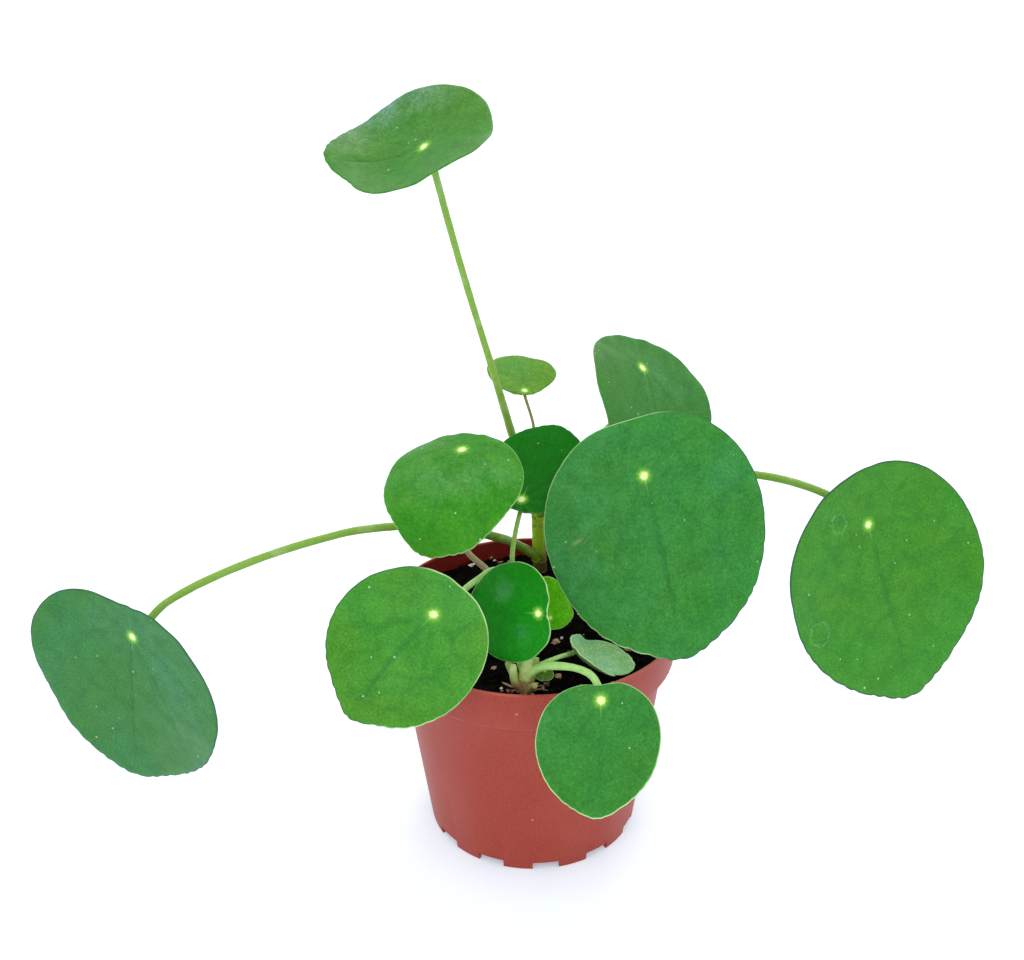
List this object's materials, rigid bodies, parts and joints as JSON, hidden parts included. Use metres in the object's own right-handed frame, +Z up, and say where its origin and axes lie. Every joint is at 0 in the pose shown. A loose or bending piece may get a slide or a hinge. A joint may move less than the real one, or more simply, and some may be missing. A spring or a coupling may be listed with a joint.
{
  "type": "potted pilea plant",
  "caption": "Round-leaved pilea with long thin petioles from a short trunk and a pup, standing in soil in a tapered nursery pot.",
  "frame": {"origin": "centre of the pot's flat base ring, on the surface that the pot stands on", "axes": "+Z up along the pot's axis; +X towards the far right leaf; -Y towards the small pup at the pot's rim"},
  "size_m": [0.3169, 0.1446, 0.2452],
  "materials": {
    "pot": "matte",
    "soil": "matte",
    "bark": "matte",
    "crown": "satin",
    "blade": "satin",
    "petiole": "satin"
  },
  "bodies": {
    "root": {"pot": "pot", "soil": "soil", "main_stem": "bark", "pup_stem": "crown", "leaf_top_left": "blade", "leaf_far_left": "blade", "leaf_upper_left": "blade", "leaf_lower_left": "blade", "leaf_middle": "blade", "leaf_inner_dark": "blade", "leaf_top_small": "blade", "leaf_upper_right": "blade", "leaf_large_right": "blade", "leaf_far_right": "blade", "leaf_inner_small": "blade", "leaf_front_cupped": "blade", "leaf_front_low": "blade", "leaf_crown_small": "blade", "petiole_top_left": "petiole", "petiole_far_left": "petiole", "petiole_upper_left": "petiole", "petiole_lower_left": "petiole", "petiole_middle": "petiole", "petiole_inner_dark": "petiole", "petiole_top_small": "petiole", "petiole_upper_right": "petiole", "petiole_large_right": "petiole", "petiole_far_right": "petiole", "petiole_inner_small": "petiole", "petiole_front_cupped": "petiole", "petiole_front_low": "petiole", "petiole_crown_small": "petiole"}
  },
  "joints": []
}
